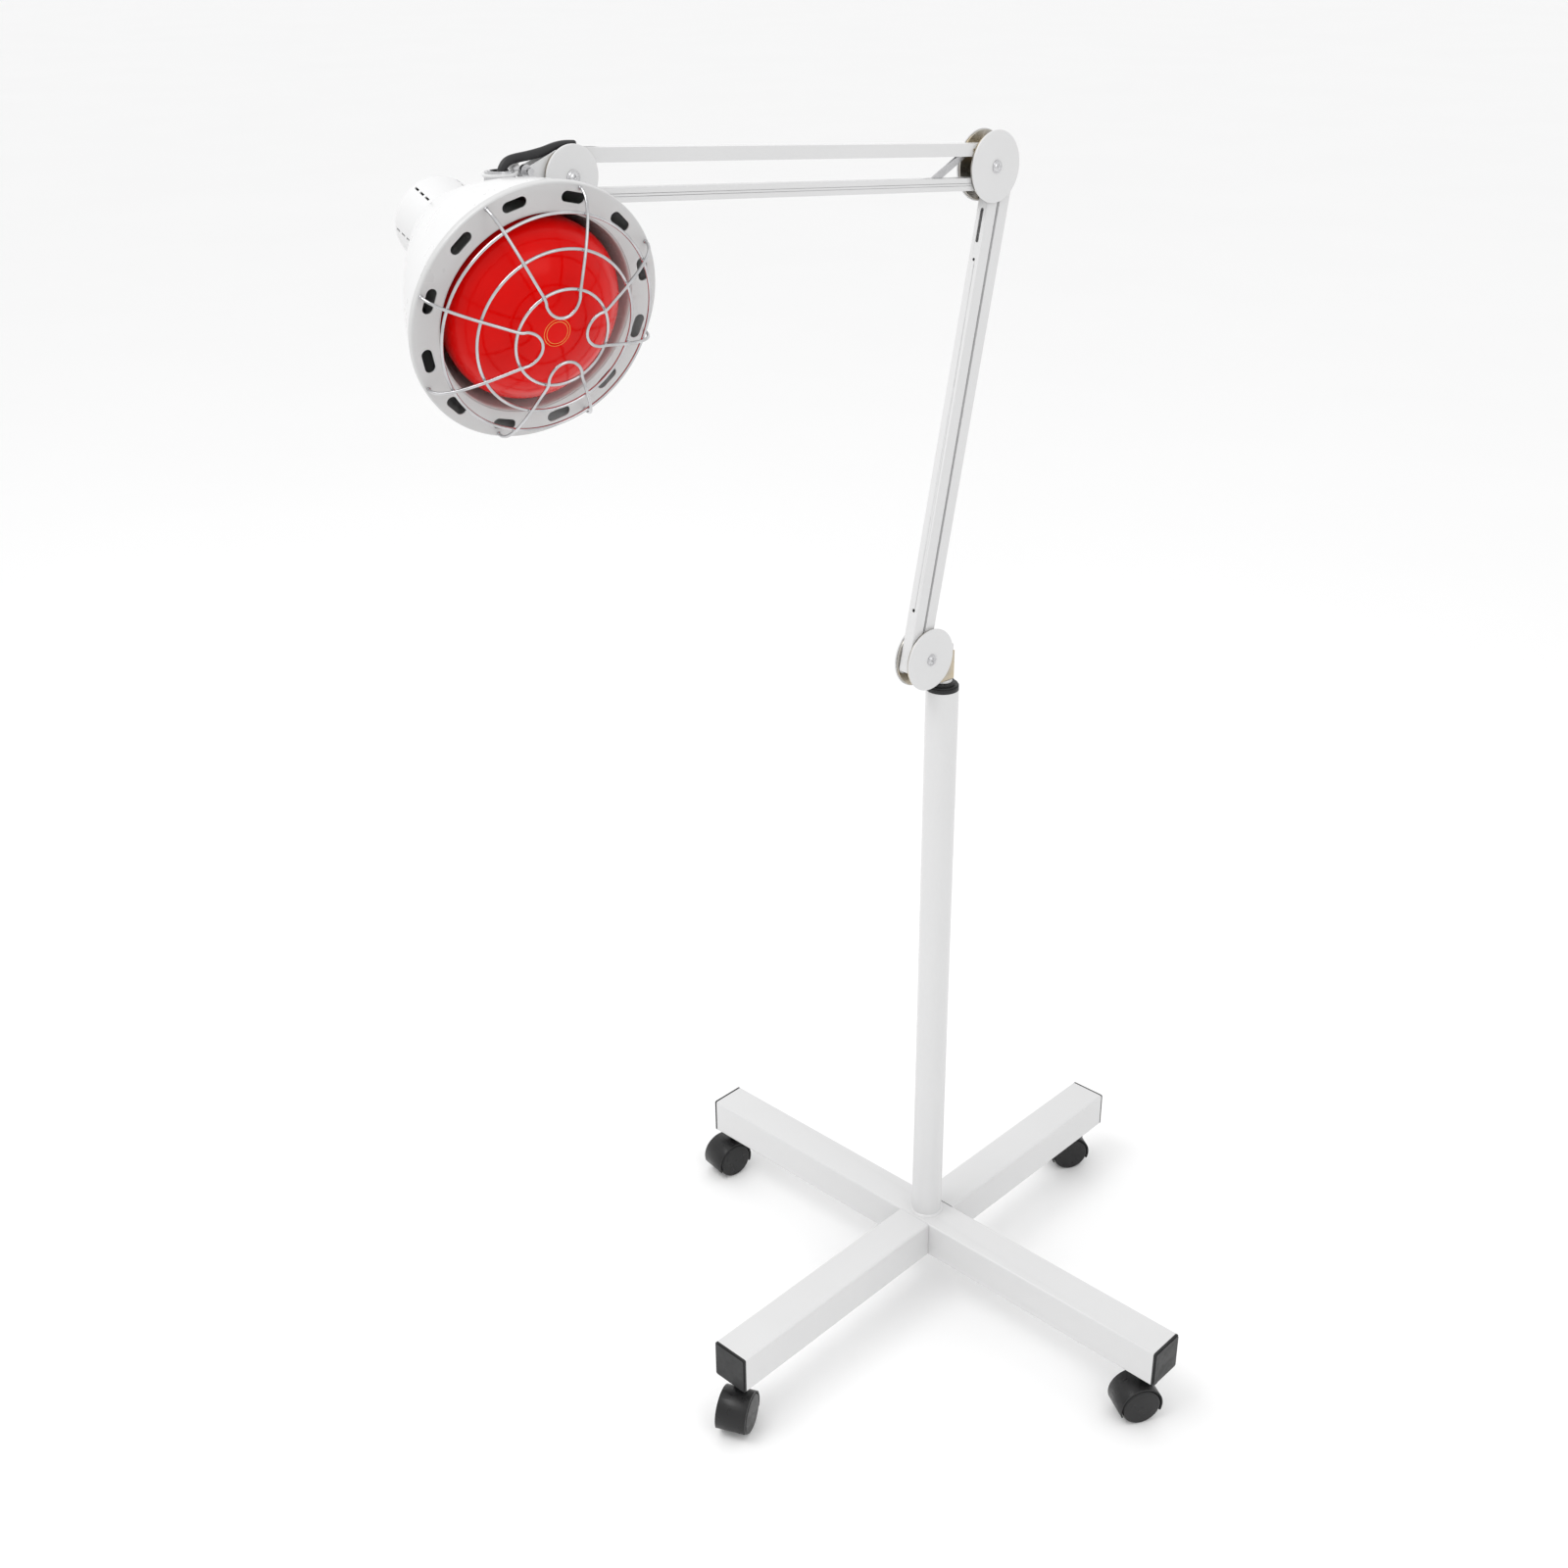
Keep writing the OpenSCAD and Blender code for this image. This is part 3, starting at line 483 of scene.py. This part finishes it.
def weld_spot(centre, size):
    """Small squashed bead where two wires are welded."""
    m = LAMP.copy()
    m.translation = centre
    beads = []
    for a in range(0, 181, 30):
        beads.append((size * math.sin(math.radians(a)), 0.8 * size * math.cos(math.radians(a))))
    return lathed(beads, m, 10)


rings = []
for r, h in RINGS:
    rings.append(tube([lamp_point(r, h, a) for a in range(0, 360, 3)], WIRE, 12, closed=True))
add_piece("guard_rings", *joined(rings), CHROME, "lamp", "chrome_wire", ("guard",))
welds = []
for k in range(4):
    middle = FIRST_HAIRPIN + 90 * k
    add_piece(f"guard_hairpin_{k + 1}", *tube(hairpin(middle), WIRE, 12), CHROME, "lamp", "chrome_wire")
    for leg in (-LEG_HALF, LEG_HALF):
        for r, h in RINGS:
            welds.append(weld_spot(lamp_point(r, h + CROSSING_UP, middle + leg), CROSSING_BEAD))
        welds.append(weld_spot(lamp_point(*FOOT, middle + leg), FOOT_BEAD))
add_piece("guard_welds", *joined(welds), CHROME, "lamp", "chrome_wire")

# ---------- elbow screws ----------

COVER_OUT = 10.02                                    # outer face of a cover disc from the arm plane, mm
HEAD_R = 4.6                                         # radius of a screw head, mm
HEAD_H = 2.3                                         # height of its dome, mm
CROSS_HALF = 0.55                                    # half the width of an arm of its cross recess, mm
CROSS_REACH = 2.7                                    # length of an arm of the recess, mm
CROSS_DEPTH = 1.3                                    # its depth in the middle, mm
CROSS_RUN = 3.4                                      # reach at which its sloped floor would meet the dome, mm
WASHER_IN = 2.6                                      # radius of a washer's hole, mm
NUT_AF = 8                                           # width of a lock nut across its flats, mm


def elbow_centre(u, z, side):
    x = OUT * (1 if side > 0 else -1)
    return frame_of(x, ACROSS * side, in_arm(u, COVER_OUT * side, z))


def pan_head(m):
    """Domed screw head with a cross recess."""
    verts, faces = [], []
    turns, steps = 72, 22
    for i in range(steps + 1):
        r = HEAD_R * i / steps
        for k in range(turns):
            a = 2 * math.pi * k / turns
            x, y = r * math.cos(a), r * math.sin(a)
            height = HEAD_H * math.sqrt(max(0, 1 - (r / HEAD_R) ** 2.4))
            arm = min(abs(x), abs(y))
            reach = max(abs(x), abs(y))
            if arm < CROSS_HALF and reach < CROSS_REACH:
                height -= CROSS_DEPTH * (1 - reach / CROSS_RUN)
            verts.append(m @ (Vector((x, y, height)) * MM))
    for i in range(steps):
        for k in range(turns):
            n = (k + 1) % turns
            faces.append([i * turns + k, i * turns + n, (i + 1) * turns + n, (i + 1) * turns + k])
    return verts, faces


def washer(m, inner, outer, thick):
    edge = thick * 0.3
    outline = [(inner, 0), (inner, thick), (outer - edge, thick), (outer, thick - edge), (outer, 0)]
    return lathed(outline, m, 64)


def lock_nut(m):
    """Hexagon nut with a rounded collar and the end of its bolt."""
    corner = NUT_AF / 2 / math.cos(math.pi / 6)
    sides = [(corner - 0.7, 0), (corner, 0.5), (corner, 2.4), (corner - 0.8, 2.9), (3.2, 2.9)]
    hexagon = lathed(sides, m, 6)
    collar = lathed([*arc((2.9, 2.9), 0.8, 0, 90, 4), (2.1, 3.7), (2, 2.6)], m, 32)
    end = lathed([(2, 1), (2, 3.9), (1.6, 4.2), (0, 4.2)], m, 32)
    return joined([hexagon, collar, end])


ELBOWS = {                                           # out and up in the arm plane, mm, and the body
    "elbow1": (25.85, 733.5, "swivel"),
    "elbow2": (-36.51, 1155.21, "elbow2"),
    "elbow3": (395.03, 1190.03, "elbow3"),
}
for name, (u, z, body) in ELBOWS.items():
    near, far = elbow_centre(u, z, 1), elbow_centre(u, z, -1)
    head = joined([washer(near, WASHER_IN, 5.4, 0.5), pan_head(near)])
    nut = joined([washer(far, WASHER_IN, 5.8, 0.6), lock_nut(far)])
    add_piece(name + "_screw_head", *head, STEEL, body, "steel", (name + "_bolt",))
    add_piece(name + "_lock_nut", *nut, STEEL, body, "steel")

# ---------- lead from the arm into the lamp ----------

LEAD = (                                             # out, to the other side of the arm plane, and up, mm
    (386, 0, 1209.8), (391, 0, 1210.3), (396, 0, 1210.4), (401, 0, 1210), (407, 0, 1208.9),
    (413, -0.2, 1207.8), (419, -0.3, 1207), (425, -0.4, 1206.4), (430.5, -0.4, 1206), (435, -0.3, 1205.6),
    (439.3, -0.2, 1204.9), (442.8, -0.1, 1203.2), (445.6, 0, 1199.7), (447.2, 0, 1195.4), (447.9, 0, 1191),
    (448, 0, 1187), (448, 0, 1183),
)
LEAD_R = 3.1 * MM
lead_path = smooth_path([in_arm(u, -w, z) for u, w, z in LEAD], 4)
lead = add_piece("lamp_lead_flex", *tube(lead_path, LEAD_R, 20), CABLE, None, "cable", ("lamp_lead",))
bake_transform(lead)

# ---------- camera, floor and light ----------

CAMERA_PLACE = (0.9928, -1.2432, 1.3725)
CAMERA_TURNS = (-43.93, 26.05, -0.58)                # heading, fall below level and roll, degrees
LENS = 42.65                                         # focal length, mm, for a sensor 36 mm wide
FLOOR_SIZE = 90
KEY_POWER = 26                                       # watts
FILL_POWER = 6

def make_camera():
    """Camera at the viewing angle."""
    heading, fall, roll = (math.radians(a) for a in CAMERA_TURNS)
    look = Vector((math.sin(heading) * math.cos(fall), math.cos(heading) * math.cos(fall), -math.sin(fall)))
    flat = Vector((math.cos(heading), -math.sin(heading), 0))
    top = flat.cross(look)
    right = flat * math.cos(roll) + top * math.sin(roll)
    top = top * math.cos(roll) - flat * math.sin(roll)
    m = Matrix((right, top, -look)).transposed().to_4x4()
    m.translation = Vector(CAMERA_PLACE)
    cam = bpy.data.objects.new("camera", bpy.data.cameras.new("camera"))
    cam.data.lens = LENS
    cam.data.sensor_width = 36
    cam.matrix_world = m
    bpy.context.scene.collection.objects.link(cam)
    bpy.context.scene.camera = cam


def make_floor():
    bpy.ops.mesh.primitive_plane_add(size=FLOOR_SIZE, location=(0, 0, 0))
    floor = bpy.context.object
    floor.name = "floor"
    m = Mat("pale_floor", (0.93, 0.93, 0.93), 0.6)
    m.tint(1.2, (0.92, 0.92, 0.92), (0.94, 0.94, 0.94), 0.4)
    floor.data.materials.append(m.mat)


def area_light(name, place, target, size, power):
    light = bpy.data.objects.new(name, bpy.data.lights.new(name, "AREA"))
    light.data.shape = "RECTANGLE"
    light.data.size, light.data.size_y = size
    light.data.energy = power
    bpy.context.scene.collection.objects.link(light)
    light.location = place
    light.rotation_euler = (Vector(target) - Vector(place)).to_track_quat("-Z", "Y").to_euler()


def make_light():
    scene = bpy.context.scene
    world = bpy.data.worlds.new("studio")
    scene.world = world
    world.use_nodes = True
    sky = next(n for n in world.node_tree.nodes if n.type == "BACKGROUND")
    sky.inputs["Color"].default_value = (1, 1, 1, 1)
    sky.inputs["Strength"].default_value = 1.0
    area_light("key", (-0.6, -1.5, 3.0), (-0.1, -0.2, 0.6), (1.6, 1.2), KEY_POWER)
    area_light("fill", (2.2, -0.6, 1.9), (0, -0.1, 0.7), (1.2, 1.2), FILL_POWER)
    scene.view_settings.view_transform = "Standard"


make_camera()
make_floor()
make_light()
